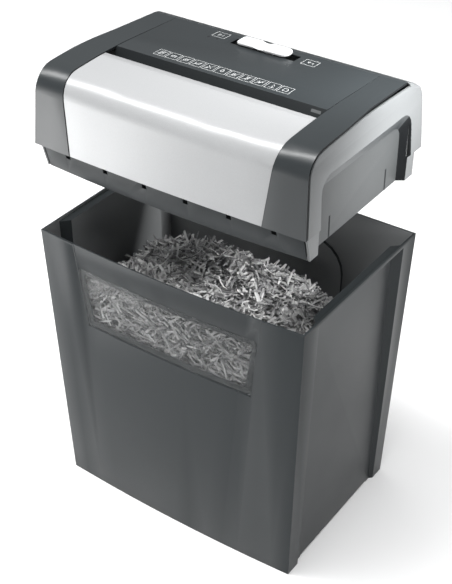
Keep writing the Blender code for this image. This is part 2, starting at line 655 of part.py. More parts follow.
def build_lower_housing(columns=12):
    """The tray under the head: a floor with the outlet, and front and rear walls inside the bin."""
    def front(u, v):
        x, z = blend(-TRAY_HALF, TRAY_HALF, u), blend(SKIRT_BASE, SHELL_BASE + TRAY_RISE, v)
        return Vector((x, tray_front(x, z), z))
    tray = part("lower_housing", thicken(sheet(columns, 1, front), Vector((0, SHELL, 0))), PLASTIC)
    places = [TRAY_FLOOR_HALF * (2 * i / columns - 1) for i in range(columns + 1)]
    outline = [(x, tray_front(x, TRAY_FLOOR_Z) + SHELL / 2) for x in places]
    outline += [(TRAY_FLOOR_HALF, SKIRT_REAR - TRAY_REAR_WALL / 2),
                (-TRAY_FLOOR_HALF, SKIRT_REAR - TRAY_REAR_WALL / 2)]
    floor = prism("Z", outline, TRAY_FLOOR_Z, TRAY_FLOOR_Z + TRAY_FLOOR)
    rear = box((-TRAY_REAR_HALF, SKIRT_REAR - GAP - TRAY_REAR_WALL, SKIRT_BASE),
               (TRAY_REAR_HALF, SKIRT_REAR - GAP, SHELL_BASE - GAP))
    join(tray, tool("tray_floor", floor), tool("tray_rear", rear))
    low, high = TRAY_FLOOR_Z - CLEAR, TRAY_FLOOR_Z + TRAY_FLOOR + CLEAR
    outlet = box((-OUTLET_HALF, FRONT_Y - OUTLET_MARGIN, low), (OUTLET_HALF, REAR_Y + OUTLET_MARGIN, high))
    hole = rod("Z", (INTERLOCK_X, INTERLOCK_Y), PLUNGER_RADIUS + 2 * GAP, low, high, 12)
    cut(tray, tool("outlet", outlet), tool("interlock_hole", hole))
    smooth(tray, 20)


def cut_notches():
    """A row of small notches along the top of the skirt's front wall."""
    for i in range(NOTCH_COUNT):
        x = (i - (NOTCH_COUNT - 1) / 2) * NOTCH_PITCH
        notch = box((x - NOTCH_WIDTH / 2, HEAD_FRONT - CLEAR, SHELL_BASE - NOTCH_HEIGHT),
                    (x + NOTCH_WIDTH / 2, SKIRT_FRONT_TOP + NOTCH_REACH, SHELL_BASE + 3 * GAP))
        cut(bpy.data.objects["lower_housing"], tool(f"skirt_notch_{i + 1}", notch))


# ---------------------------------------------------------------- cutting unit

def turned(name, profile, finish, centre, steps=12, hollow=False):
    """A solid turned about an X axis at (y, z): profile holds (radius, x) from +X to -X."""
    y, z = centre
    mesh = bpy.data.meshes.new(name)
    points = [(radius, 0, x) for radius, x in profile]
    edges = [(i, i + 1) for i in range(len(points) - 1)]
    if hollow:
        edges.append((len(points) - 1, 0))
    mesh.from_pydata(points, edges, [])
    obj = bpy.data.objects.new(name, mesh)
    obj.rotation_euler = (0, math.pi / 2, 0)
    obj.location = (0, y, z)
    PARTS.objects.link(obj)
    obj.data.materials.append(MATERIALS[finish])
    screw = obj.modifiers.new("turned", "SCREW")
    screw.steps = screw.render_steps = steps
    screw.axis = "Z"
    screw.use_merge_vertices = True
    screw.merge_threshold = 0.00001
    return obj


def cutter_profile(first_disc, shaft_end):
    """A journal, the core with its cutting discs, and the other journal, from +X down to -X."""
    points = [(0, shaft_end), (JOURNAL_RADIUS, shaft_end), (JOURNAL_RADIUS, CORE_END),
              (CORE_RADIUS, CORE_END)]
    for i in range(DISC_COUNT):
        x = first_disc - i * DISC_PITCH
        high, low = x + DISC_THICK / 2, x - DISC_THICK / 2
        points += [(CORE_RADIUS, high), (DISC_RADIUS, high), (DISC_RADIUS, low), (CORE_RADIUS, low)]
    return points + [(CORE_RADIUS, -CORE_END), (JOURNAL_RADIUS, -CORE_END),
                     (JOURNAL_RADIUS, -SHAFT_LEFT_END), (0, -SHAFT_LEFT_END)]


def ring_profile(inner, outer, low, high):
    return [(outer, high), (outer, low), (inner, low), (inner, high)]


def gear_outline(module, teeth, phase):
    """Straight-flanked teeth, narrow enough to run with backlash; phase turns a tooth's centre."""
    pitch, step = module * teeth / 2, 2 * math.pi / teeth
    tip, root = pitch + TIP_HEIGHT * module, pitch - ROOT_DEPTH * module
    flanks = ((root, -ROOT_SHARE), (tip, -TIP_SHARE), (tip, TIP_SHARE), (root, ROOT_SHARE))
    points = []
    for tooth in range(teeth):
        middle = phase + tooth * step
        for radius, share in flanks:
            angle = middle + share * step
            points.append((radius * math.cos(angle), radius * math.sin(angle)))
    return points


def gear(module, teeth, phase, layer, centre):
    y, z = centre
    outline = [(y + a, z + b) for a, b in gear_outline(module, teeth, phase)]
    return prism("X", outline, *layer)


def gear_train():
    """Centres of the train's axes: the rear cutter, second gear, first gear and motor."""
    def arm(module, teeth_sum, angle):
        return module * teeth_sum / 2 * Vector((math.cos(angle), math.sin(angle)))
    rear = Vector((REAR_Y, CUTTER_Z))
    second = rear + arm(MODULE_FINAL, TEETH_DRIVE + TEETH_SECOND_PINION, 0)
    first = second + arm(MODULE_FINE, TEETH_SECOND + TEETH_FIRST_PINION, TOWARD_FIRST)
    motor = first + arm(MODULE_FINE, TEETH_FIRST + TEETH_MOTOR, TOWARD_MOTOR)
    return rear, second, first, motor


def meshing_phase(teeth, direction):
    """A phase that puts a gap, not a tooth, where the mating gear's tooth comes in."""
    return direction + math.pi / teeth


def build_cutters():
    disc_span = DISC_PITCH * (DISC_COUNT - 1) / 2
    starts = {"front": disc_span + DISC_PITCH / 4, "rear": disc_span - DISC_PITCH / 4}
    centres = {"front": (FRONT_Y, CUTTER_Z), "rear": (REAR_Y, CUTTER_Z)}
    phases = {"front": 0.0, "rear": meshing_phase(TEETH_CUTTER, math.pi)}
    for word, centre in centres.items():
        profile = cutter_profile(starts[word], SHAFT_RIGHT_END[word])
        turned(f"cutter_cylinder_{word}", profile, "steel", centre)
        wheel = part(f"cutter_gear_{word}",
                     gear(MODULE_CUTTER, TEETH_CUTTER, phases[word], LAYER_A, centre), "steel",
                     (0, *centre))
        bore = rod("X", centre, JOURNAL_RADIUS + GAP, LAYER_A[0] - CLEAR, LAYER_A[1] + CLEAR, 12)
        cut(wheel, tool(f"gear_bore_{word}", bore))
        for side, end in ((-1, "left"), (1, "right")):
            low, high = sorted((side * (PLATE_X - BUSH_PROUD), side * (PLATE_X + PLATE_THICK + BUSH_PROUD)))
            profile = ring_profile(JOURNAL_RADIUS + GAP, BUSH_RADIUS, low, high)
            turned(f"bush_{word}_{end}", profile, "bronze", centre, hollow=True)


def build_gear_train():
    rear, second, first, motor = gear_train()
    drive = part("drive_gear", gear(MODULE_FINAL, TEETH_DRIVE, 0, LAYER_B, rear), "nylon",
                 (0, *rear))
    low, high = LAYER_B[0] - CLEAR, LAYER_C[1] + CLEAR
    cut(drive, tool("drive_bore", rod("X", rear, JOURNAL_RADIUS + GAP, low, high, 12)))

    phase = meshing_phase(TEETH_SECOND_PINION, math.pi)
    pinion = gear(MODULE_FINAL, TEETH_SECOND_PINION, phase, (LAYER_B[0], LAYER_C[0] + GAP), second)
    compound = part("second_compound_gear", gear(MODULE_FINE, TEETH_SECOND, TOWARD_FIRST, LAYER_C,
                                                 second), "nylon", (0, *second))
    join(compound, tool("second_pinion", pinion))
    cut(compound, tool("second_bore", rod("X", second, AXLE_RADIUS + GAP, low, high, 12)))

    phase = meshing_phase(TEETH_FIRST_PINION, TOWARD_FIRST + math.pi)
    pinion = gear(MODULE_FINE, TEETH_FIRST_PINION, phase, (LAYER_B[1] - GAP, LAYER_C[1]), first)
    compound = part("first_compound_gear", gear(MODULE_FINE, TEETH_FIRST, TOWARD_MOTOR, LAYER_B,
                                                first), "nylon", (0, *first))
    join(compound, tool("first_pinion", pinion))
    cut(compound, tool("first_bore", rod("X", first, AXLE_RADIUS + GAP, low, high, 12)))

    start = PLATE_X + PLATE_THICK + GAP
    axle = [(0, AXLE_END), (AXLE_RADIUS, AXLE_END), (AXLE_RADIUS, start), (0, start)]
    for word, centre in (("second", second), ("first", first)):
        turned(f"{word}_gear_axle", axle, "steel", centre)

    phase = meshing_phase(TEETH_MOTOR, TOWARD_MOTOR + math.pi)
    pinion = part("motor_pinion", gear(MODULE_FINE, TEETH_MOTOR, phase, LAYER_B, motor), "steel",
                  (0, *motor))
    stub = rod("X", motor, MOTOR_SHAFT_RADIUS, MOTOR_RIGHT + GAP, LAYER_B[0] + GAP, 10)
    join(pinion, tool("motor_shaft", stub))
    return motor


def build_frame(motor):
    for side, word in ((-1, "left"), (1, "right")):
        low, high = sorted((side * PLATE_X, side * (PLATE_X + PLATE_THICK)))
        edges = ((PLATE_FRONT, PLATE_LOW), (PLATE_FRONT, PLATE_HIGH), (PLATE_REAR[word], PLATE_HIGH),
                 (PLATE_REAR[word], PLATE_LOW))
        outline = rounded_loop([(*edge, PLATE_RADIUS) for edge in edges], steps=2)
        plate = part(f"frame_plate_{word}", prism("X", outline, low, high), "steel")
        for y, end in ((FRONT_Y, "front"), (REAR_Y, "rear")):
            hole = rod("X", (y, CUTTER_Z), BUSH_RADIUS + GAP, low - CLEAR, high + CLEAR, 12)
            cut(plate, tool(f"bush_hole_{word}_{end}", hole))
        if side > 0:
            hole = rod("X", motor, MOTOR_HOLE_RADIUS, low - CLEAR, high + CLEAR, 12)
            cut(plate, tool("motor_hole", hole))
    inner = PLATE_X - GAP
    for word, centre in TIE_RODS.items():
        part(f"tie_rod_{word}", rod("X", centre, TIE_ROD_RADIUS, -inner, inner, 10), "steel")
    for word, y, direction in (("front", FRONT_Y, -1), ("rear", REAR_Y, 1)):
        face = y + direction * (DISC_RADIUS + COMB_GAP)
        near, far = sorted((face, face + direction * COMB_THICK))
        comb = box((-COMB_HALF, near, CUTTER_Z - COMB_BELOW), (COMB_HALF, far, CUTTER_Z + COMB_ABOVE))
        part(f"stripper_comb_{word}", comb, "black_plastic")


def motor_profile():
    """The can with its collar at the shaft's end and a bearing tail at the other."""
    shoulder, edge = MOTOR_RIGHT - COLLAR, MOTOR_RADIUS - MOTOR_CHAMFER
    return [(0, MOTOR_RIGHT), (COLLAR_RADIUS, MOTOR_RIGHT), (COLLAR_RADIUS, shoulder), (edge, shoulder),
            (MOTOR_RADIUS, shoulder - MOTOR_CHAMFER), (MOTOR_RADIUS, MOTOR_LEFT + MOTOR_CHAMFER),
            (edge, MOTOR_LEFT), (TAIL_RADIUS, MOTOR_LEFT), (TAIL_RADIUS, MOTOR_LEFT - TAIL),
            (0, MOTOR_LEFT - TAIL)]


def build_fittings(motor):
    """The motor, and the plain blocks round it: saddle, gear cover, board and switches."""
    smooth(turned("motor", motor_profile(), "steel", motor, 20))
    made = {}
    for name, (finish, low, high) in FITTINGS.items():
        made[name] = part(name, box(low, high), finish)
    seat = rod("X", motor, MOTOR_RADIUS + GAP, 0, PLATE_X, 24)
    cut(made["motor_saddle"], tool("saddle_seat", seat))
    _, low, high = FITTINGS["gear_cover"]
    hollow = box((PLATE_X, low[1] + GEAR_COVER_WALL, low[2] + GEAR_COVER_WALL),
                 [value - GEAR_COVER_WALL for value in high])
    cut(made["gear_cover"], tool("gear_cover_inside", hollow))


def build_controls():
    plunger = rod("Z", (INTERLOCK_X, INTERLOCK_Y), PLUNGER_RADIUS, PLUNGER_BASE, PLUNGER_TOP, 12)
    smooth(part("interlock_plunger", plunger, "light_plastic", (INTERLOCK_X, INTERLOCK_Y, PLUNGER_BASE)))

    pivot, toe = LEVER_PIVOT, NIP_Y - LEVER_PAST_NIP
    outline = [(pivot.y + LEVER_HUB_Y, pivot.z - LEVER_HUB_Z), (pivot.y + LEVER_HUB_Y, pivot.z + LEVER_HUB_Z),
               (pivot.y - LEVER_HUB_Y, pivot.z + LEVER_HUB_Z), (toe, pivot.z - LEVER_TOE_TOP),
               (toe, pivot.z - LEVER_TOE_BASE)]
    lever = prism("X", outline, pivot.x - LEVER_HALF, pivot.x + LEVER_HALF)
    part("paper_lever", lever, "black_plastic", pivot)

    profile = [(CORD_BORE, GLAND_FRONT), (CORD_BORE, GLAND_REAR), (GLAND_FACE, GLAND_REAR),
               (GLAND_LIP, GLAND_EDGE), (GLAND_NECK, GLAND_SEAT), (GLAND_NECK, GLAND_FRONT)]
    gland = turned("cord_gland", profile, "rubber", (0, 0), 16, hollow=True)
    gland.rotation_euler = (-math.pi / 2, 0, 0)
    gland.location = (CORD_X, 0, CORD_Z)


def build_slider():
    """The mode slider: a long thumb piece with a finger hollow, on a stem that passes the slot."""
    half, width = SLIDER_LENGTH / 2, SLIDER_WIDTH / 2
    top = SLIDER_UNDER + SLIDER_HEIGHT
    outline = rounded_loop([(half, -width, SLIDER_RIGHT_RADIUS), (half, width, SLIDER_RIGHT_RADIUS),
                            (-half, width, SLIDER_LEFT_RADIUS), (-half, -width, SLIDER_LEFT_RADIUS)],
                           steps=4)
    outline = [(x, SLIDER_Y + y) for x, y in outline]
    slider = part("mode_slider", prism("Z", outline, SLIDER_UNDER, top), "light_plastic",
                  (0, SLIDER_Y, SLIDER_UNDER))
    grip = rod("Y", (GRIP_X, top + GRIP_RISE), GRIP_RADIUS, SLIDER_Y - SLIDER_WIDTH,
               SLIDER_Y + SLIDER_WIDTH, 32)
    stem = box((-STEM_HALF, SLIDER_Y - STEM_DEPTH, STEM_BASE),
               (STEM_HALF, SLIDER_Y + STEM_DEPTH, SLIDER_UNDER + GAP))
    cut(join(slider, tool("slider_stem", stem)), tool("slider_grip", grip))


def build_screws():
    """Four housing screws, driven up through the tray from below."""
    for i, (x, y) in enumerate(SCREW_PLACES, 1):
        head = rod("Z", (x, y), SCREW_HEAD_RADIUS, TRAY_FLOOR_Z - SCREW_HEAD, TRAY_FLOOR_Z - GAP, 12)
        screw = part(f"housing_screw_{i}", head, "steel", (x, y, TRAY_FLOOR_Z))
        shank = rod("Z", (x, y), SCREW_RADIUS, TRAY_FLOOR_Z - SCREW_HEAD / 2, TRAY_FLOOR_Z + SCREW_LENGTH, 10)
        join(screw, tool(f"screw_shank_{i}", shank))
        hole = rod("Z", (x, y), SCREW_RADIUS + GAP, TRAY_FLOOR_Z - CLEAR, TRAY_FLOOR_Z + TRAY_FLOOR + CLEAR,
                   10)
        cut(bpy.data.objects["lower_housing"], tool(f"screw_hole_{i}", hole))


clear_scene()
PARTS = new_collection("paper_shredder")
CUTTERS = new_collection("cutters")
MATERIALS = {name: make_material(name) for name in FINISHES}
build_bin()
build_covers()
build_cheek(-1, "left")
build_cheek(1, "right")
build_lower_housing()
build_cutters()
MOTOR_AXIS = build_gear_train()
build_frame(MOTOR_AXIS)
build_fittings(MOTOR_AXIS)
build_controls()
build_slider()
build_screws()
cut_notches()
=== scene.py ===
"""Looks of the paper shredder: finishes, rounded edges, signs, shredded paper, lights and camera."""

import json
import math
import random

import bmesh
import bpy
from mathutils import Matrix, Vector
from mathutils.bvhtree import BVHTree


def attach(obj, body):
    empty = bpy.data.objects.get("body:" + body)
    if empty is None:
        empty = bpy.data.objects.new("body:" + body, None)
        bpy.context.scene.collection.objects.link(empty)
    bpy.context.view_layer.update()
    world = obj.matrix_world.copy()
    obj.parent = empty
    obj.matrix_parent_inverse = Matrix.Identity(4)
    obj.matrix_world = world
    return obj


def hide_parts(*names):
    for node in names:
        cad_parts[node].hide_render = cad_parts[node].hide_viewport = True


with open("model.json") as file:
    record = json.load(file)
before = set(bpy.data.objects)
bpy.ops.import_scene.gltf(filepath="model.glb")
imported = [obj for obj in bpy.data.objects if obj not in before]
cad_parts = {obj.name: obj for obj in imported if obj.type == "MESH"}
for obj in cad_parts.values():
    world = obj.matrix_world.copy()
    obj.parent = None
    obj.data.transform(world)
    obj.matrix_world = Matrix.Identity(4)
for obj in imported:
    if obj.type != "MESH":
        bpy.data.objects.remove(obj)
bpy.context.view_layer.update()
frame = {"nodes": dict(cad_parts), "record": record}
NODES = frame["nodes"]

# Camera, metres and degrees
VIEW_AZIMUTH, VIEW_ELEVATION = 35.03, 35.04
CAMERA_PLACE = (0.58499, -0.83505, 0.95247)
LENS, SENSOR = 77.24, 36.0
CLIP_END = 30

# Bin, as far as the paper needs it
BIN_HEIGHT = 0.3075
BIN_HALF_BASE, BIN_HALF_TOP = 0.1392, 0.1500
BIN_FRONT_BASE, BIN_FRONT_TOP = -0.0909, -0.0979
BIN_REAR_BASE, BIN_REAR_TOP = 0.0966, 0.1036
BIN_BULGE = 0.0055
BIN_SIDE_HOLLOW = 0.0115
BIN_WALL = 0.0022
PAPER_GAP = 0.0010

# Printing and small marks on the head
COVER_TOP, ABOVE_HEAD = 0.4760, 0.6
INK_THICK, INK_WIDTH = 0.00006, 0.00042
SYMBOL_INK_WIDTH = 1.1 * INK_WIDTH
SYMBOL_SHARE = 0.72
SIGN_COUNT, SIGN_FIRST, SIGN_PITCH = 11, -0.0697, 0.01336
SIGN_Y, SIGN_SIZE = -0.0022, (0.0114, 0.0122)
FORWARD_PLACE, REVERSE_PLACE, DIRECTION_SIZE = (-0.0525, 0.0668), (0.0493, 0.0615), (0.0140, 0.0118)
LENS_PLACES, LENS_RADIUS = ((-0.0600, 0.0565), (-0.0500, 0.0565)), 0.0015
LENS_DEPTH, LENS_RISE, LENS_TAPER = 0.0002, 0.0001, 0.9
FEED_MARK = ((0.0985, 0.1080), (-0.0172, -0.0158))
POCKET_FLOOR, POCKET_EDGE, POCKET_RIM, POCKET_SLACK = 0.1375, 0.1437, 0.4480, 0.0005
SLIT_PLACES, SLIT_HALF, SLIT_HEIGHTS = (-0.0440, 0.0530), 0.0011, (0.3755, 0.3970)
SLIT_DEPTH, SLIT_RISE = 0.0003, 0.00008

# How far a face's normal leans towards a direction when the face counts as facing it (cosines)
LEANING, TURNED, SLANTED, SQUARE_ON = 0.2, 0.3, 0.5, 0.8

# Where grey noise is read as its darkest and its lightest value
NOISE_LOW, NOISE_HIGH = 0.3, 0.7

SIDES = ("left", "right")


# ---------------------------------------------------------------- materials

def new_material(name, colour, roughness, metallic=0.0):
    material = bpy.data.materials.new(name)
    material.use_nodes = True
    shader = material.node_tree.nodes["Principled BSDF"]
    shader.inputs["Base Color"].default_value = (*colour, 1.0)
    shader.inputs["Roughness"].default_value = roughness
    shader.inputs["Metallic"].default_value = metallic
    return material, shader


def add_node(material, kind, **values):
    node = material.node_tree.nodes.new(kind)
    for name, value in values.items():
        if name in node.inputs:
            node.inputs[name].default_value = value
        else:
            setattr(node, name, value)
    return node


def link(material, start, end):
    material.node_tree.links.new(start, end)


def place_noise(material, scale, detail=4.0, stretch=(1, 1, 1)):
    """Noise in object space, so that its grain has a size in metres."""
    where = add_node(material, "ShaderNodeTexCoord")
    mapping = add_node(material, "ShaderNodeMapping")
    mapping.inputs["Scale"].default_value = stretch
    grain = add_node(material, "ShaderNodeTexNoise", Scale=scale, Detail=detail)
    link(material, where.outputs["Object"], mapping.inputs["Vector"])
    link(material, mapping.outputs["Vector"], grain.inputs["Vector"])
    return grain


def vary(material, shader, socket, source, low, high):
    """Varies a shader socket between two values (numbers or colours) with a grey texture."""
    if isinstance(low, (int, float)):
        spread = add_node(material, "ShaderNodeMapRange")
        spread.inputs["From Min"].default_value = NOISE_LOW
        spread.inputs["From Max"].default_value = NOISE_HIGH
        spread.inputs["To Min"].default_value = low
        spread.inputs["To Max"].default_value = high
        link(material, source, spread.inputs["Value"])
        link(material, spread.outputs["Result"], shader.inputs[socket])
        return
    ramp = add_node(material, "ShaderNodeValToRGB")
    ramp.color_ramp.elements[0].position = NOISE_LOW
    ramp.color_ramp.elements[0].color = (*low, 1.0)
    ramp.color_ramp.elements[1].position = NOISE_HIGH
    ramp.color_ramp.elements[1].color = (*high, 1.0)
    link(material, source, ramp.inputs["Fac"])
    link(material, ramp.outputs["Color"], shader.inputs[socket])


def bump(material, shader, source, strength, distance):
    node = add_node(material, "ShaderNodeBump", Strength=strength, Distance=distance)
    link(material, source, node.inputs["Height"])
    link(material, node.outputs["Normal"], shader.inputs["Normal"])


def moulded_plastic(name, colour, roughness, grain=2600.0, spread=0.08, relief=0.25, gloss=0.5):
    """Injection-moulded plastic: a fine spark-eroded texture and slow cloudy changes of gloss."""
    material, shader = new_material(name, colour, roughness)
    shader.inputs["Specular IOR Level"].default_value = gloss
    fine = place_noise(material, grain, 2.0)
    cloud = place_noise(material, 9.0, 3.0)
    dark = tuple(c * (1 - spread) for c in colour)
    light = tuple(c * (1 + spread) for c in colour)
    vary(material, shader, "Base Color", fine.outputs["Fac"], dark, light)
    vary(material, shader, "Roughness", cloud.outputs["Fac"], roughness - 0.04, roughness + 0.04)
    bump(material, shader, fine.outputs["Fac"], relief, 0.00006)
    return material


def silver_paint():
    """Metallic paint: flakes that differ a little in brightness under a smooth satin lacquer."""
    material, shader = new_material("silver_paint", (0.35, 0.355, 0.36), 0.32, 0.10)
    flakes = place_noise(material, 2400.0, 1.0)
    vary(material, shader, "Base Color", flakes.outputs["Fac"], (0.33, 0.335, 0.34), (0.37, 0.375, 0.38))
    vary(material, shader, "Roughness", flakes.outputs["Fac"], 0.28, 0.36)
    bump(material, shader, flakes.outputs["Fac"], 0.12, 0.00004)
    return material


def clear_pane():
    """Clear moulded plastic: mostly see-through, with a glossy face and faint flow marks."""
    material, shader = new_material("clear_pane", (0.06, 0.065, 0.066), 0.10)
    shader.inputs["Alpha"].default_value = 0.20
    shader.inputs["IOR"].default_value = 1.49
    flow = place_noise(material, 14.0, 2.0, (1, 1, 3))
    vary(material, shader, "Roughness", flow.outputs["Fac"], 0.06, 0.14)
    bump(material, shader, flow.outputs["Fac"], 0.05, 0.0004)
    return material


def turned_steel(name="turned_steel", colour=(0.42, 0.43, 0.44), roughness=0.30):
    """Machined steel: fine rings across the axis and a thin uneven film of oil."""
    material, shader = new_material(name, colour, roughness, 1.0)
    rings = place_noise(material, 900.0, 2.0, (1.0, 0.05, 0.05))
    oil = place_noise(material, 60.0, 4.0)
    vary(material, shader, "Roughness", rings.outputs["Fac"], roughness - 0.08, roughness + 0.12)
    dark = tuple(c * 0.75 for c in colour)
    vary(material, shader, "Base Color", oil.outputs["Fac"], dark, colour)
    bump(material, shader, rings.outputs["Fac"], 0.25, 0.00008)
    return material


def zinc_sheet():
    """Zinc-plated sheet steel: a soft spangle of slightly different greys."""
    material, shader = new_material("zinc_sheet", (0.55, 0.56, 0.55), 0.36, 1.0)
    where = add_node(material, "ShaderNodeTexCoord")
    spangle = add_node(material, "ShaderNodeTexVoronoi", Scale=220.0)
    link(material, where.outputs["Object"], spangle.inputs["Vector"])
    vary(material, shader, "Base Color", spangle.outputs["Distance"], (0.46, 0.47, 0.46), (0.62, 0.63, 0.62))
    vary(material, shader, "Roughness", spangle.outputs["Distance"], 0.30, 0.44)
    return material


def circuit_board():
    """Green solder mask over copper tracks."""
    material, shader = new_material("circuit_board_green", (0.02, 0.13, 0.05), 0.35)
    where = add_node(material, "ShaderNodeTexCoord")
    tracks = add_node(material, "ShaderNodeTexBrick", Scale=60.0)
    tracks.inputs["Color1"].default_value = (0.015, 0.10, 0.04, 1)
    tracks.inputs["Color2"].default_value = (0.020, 0.14, 0.05, 1)
    tracks.inputs["Mortar"].default_value = (0.05, 0.26, 0.10, 1)
    tracks.inputs["Mortar Size"].default_value = 0.03
    link(material, where.outputs["Object"], tracks.inputs["Vector"])
    link(material, tracks.outputs["Color"], shader.inputs["Base Color"])
    bump(material, shader, tracks.outputs["Fac"], 0.3, 0.0001)
    return material


def shredded_paper():
    """White office paper with grey printing here and there; each strip has its own tone."""
    material, shader = new_material("shredded_paper", (0.70, 0.70, 0.69), 0.85)
    own = add_node(material, "ShaderNodeNewGeometry")
    tone = add_node(material, "ShaderNodeValToRGB")
    stops = tone.color_ramp.elements
    stops[0].color = (0.14, 0.14, 0.145, 1)
    stops[1].color = (0.74, 0.74, 0.735, 1)
    middle = stops.new(0.40)
    middle.color = (0.40, 0.40, 0.40, 1)
    link(material, own.outputs["Random Per Island"], tone.inputs["Fac"])
    fibres = place_noise(material, 1400.0, 3.0)
    mix = add_node(material, "ShaderNodeMix", data_type="RGBA", blend_type="MULTIPLY")
    mix.inputs["Factor"].default_value = 0.25
    link(material, tone.outputs["Color"], mix.inputs["A"])
    link(material, fibres.outputs["Color"], mix.inputs["B"])
    link(material, mix.outputs["Result"], shader.inputs["Base Color"])
    bump(material, shader, fibres.outputs["Fac"], 0.2, 0.0001)
    return material


def printed_ink():
    """Pale grey pad printing, a little thin in places."""
    material, shader = new_material("printed_ink", (0.50, 0.51, 0.51), 0.5)
    thin = place_noise(material, 1800.0, 2.0)
    vary(material, shader, "Base Color", thin.outputs["Fac"], (0.42, 0.43, 0.43), (0.58, 0.59, 0.59))
    return material


def pale_floor():
    material, shader = new_material("pale_floor", (0.95, 0.95, 0.95), 0.85)
    cloud = place_noise(material, 1.5, 2.0)
    vary(material, shader, "Base Color", cloud.outputs["Fac"], (0.945, 0.945, 0.945), (0.955, 0.955, 0.955))
    return material


CHARCOAL = moulded_plastic("charcoal_plastic_fine", (0.024, 0.028, 0.030), 0.33)
SATIN = moulded_plastic("satin_plastic_fine", (0.028, 0.032, 0.034), 0.32, gloss=0.14)
# Painted light: a much lighter copy of the bin plastic for the bin's inner faces, which the lamps barely
# reach
INSIDE_PAINTED_LIGHT = moulded_plastic("inside_painted_light_plastic", (0.200, 0.207, 0.210), 0.50, gloss=0.25)
# Painted shade: near-black for the seams, the pockets' rear ends and the pocket slits
PAINTED_SHADE = moulded_plastic("painted_shade_plastic", (0.008, 0.009, 0.010), 0.50, gloss=0.10)
# Painted shade: a darker copy of the charcoal for the walls of the feed slot
THROAT_SHADE = moulded_plastic("throat_painted_shade", (0.012, 0.014, 0.015), 0.50, gloss=0.12)
# Painted light: the cheeks are the same charcoal plastic, drawn far lighter to show the light falling on them
CHEEK_PAINTED_LIGHT = moulded_plastic("cheek_painted_light_plastic", (0.110, 0.115, 0.117), 0.34, gloss=0.30)
# Painted shade: the pockets' rougher lining, drawn darker than the cheeks for the shade in the recess
GRIP_SHADE = moulded_plastic("grip_shade_plastic", (0.050, 0.053, 0.054), 0.45, gloss=0.20)
BLACK = moulded_plastic("black_plastic_fine", (0.012, 0.013, 0.014), 0.45)
LIGHT = moulded_plastic("light_plastic_fine", (0.62, 0.63, 0.635), 0.30, spread=0.03, relief=0.1)
NYLON = moulded_plastic("nylon_fine", (0.70, 0.68, 0.62), 0.42, spread=0.04)
RUBBER = moulded_plastic("rubber_fine", (0.018, 0.018, 0.019), 0.75, grain=1800.0, relief=0.5)
SILVER = silver_paint()
PANE = clear_pane()
STEEL = turned_steel()
BRONZE = turned_steel("sintered_bronze", (0.42, 0.25, 0.10), 0.42)
ZINC = zinc_sheet()
BOARD = circuit_board()
PAPER = shredded_paper()
INK = printed_ink()


# ---------------------------------------------------------------- pieces

def new_object(name, bm, material, body):
    mesh = bpy.data.meshes.new(name)
    bm.to_mesh(mesh)
    bm.free()
    obj = bpy.data.objects.new(name, mesh)
    bpy.context.scene.collection.objects.link(obj)
    obj.data.materials.append(material)
    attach(obj, body)
    return obj


def refined(node, material, body, width, segments=3, sharp=28):
    """A finer copy of a CAD node: its flat faces are merged and its edges rounded.

    With a width of 0 the edges stay crisp, and each flat face keeps its own even shading.
    """
    bm = bmesh.new()
    bm.from_mesh(NODES[node].data)
    bmesh.ops.remove_doubles(bm, verts=bm.verts, dist=1e-6)
    bmesh.ops.dissolve_limit(bm, angle_limit=math.radians(0.3), verts=bm.verts, edges=bm.edges)
    obj = new_object(f"{node}_fine", bm, material, body)
    obj.data.shade_smooth()
    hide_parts(node)
    if width == 0:
        obj.data.set_sharp_from_angle(angle=math.radians(sharp))
        even = obj.modifiers.new("even shading", "WEIGHTED_NORMAL")
        even.keep_sharp = True
        even.weight = 100
        return obj
    rounding = obj.modifiers.new("rounded edges", "BEVEL")
    rounding.width = width
    rounding.segments = segments
    rounding.limit_method = "ANGLE"
    rounding.angle_limit = math.radians(sharp)
    rounding.harden_normals = True
    rounding.use_clamp_overlap = True
    return obj


def repaint(node, material):
    data = NODES[node].data
    data.materials.clear()
    data.materials.append(material)


def add_finish(obj, material, chosen):
    """Gives one more finish to the faces picked by chosen(face)."""
    obj.data.materials.append(material)
    for face in obj.data.polygons:
        if chosen(face):
            face.material_index = len(obj.data.materials) - 1
    return obj


def faces_inwards(face):
    """Whether a face of the bin looks into the bin; such faces get a lighter colour as painted light, since
    the head keeps the lamps out.
    """
    reach_x, reach_y = BIN_HALF_BASE - BIN_WALL, BIN_REAR_BASE
    within = abs(face.center.x) < BIN_HALF_TOP - BIN_WALL / 2 and abs(face.center.y) < BIN_REAR_TOP
    outward = face.center.x / reach_x * face.normal.x + face.center.y / reach_y * face.normal.y
    return within and outward < -LEANING


def faces_sideways(face):
    """Whether a face looks into the narrow seam beside a cover, where near-black painted shade goes."""
    return abs(face.normal.x) > SQUARE_ON


def faces_throat(face):
    """Whether a face of the top cover lines the feed slot's throat, which is painted darker as shade."""
    return face.normal.y < -SLANTED


def faces_into_pocket(face):
    """Whether a face of a cheek lines its hand pocket, which has a rougher finish and a darker colour as
    painted shade.
    """
    outward = face.normal.x * face.center.x > 0
    deep = POCKET_FLOOR - POCKET_SLACK < abs(face.center.x) < POCKET_EDGE
    return outward and deep and face.center.z < POCKET_RIM


def roofs_pocket(face):
    """Whether a face is the pocket's roof, which looks down and is painted in the darker charcoal as shade.
    """
    return faces_into_pocket(face) and face.normal.z < -LEANING


def closes_pocket(face):
    """Whether a face is the pocket's rear end, which lies in its own shade and is painted near-black for it.
    """
    return faces_into_pocket(face) and face.normal.y < -TURNED


# The bin's inner faces get the lighter painted light
add_finish(refined("bin_shell", SATIN, "bin", 0.0006, 2), INSIDE_PAINTED_LIGHT, faces_inwards)
refined("window_pane", PANE, "bin", 0.0004, 2)
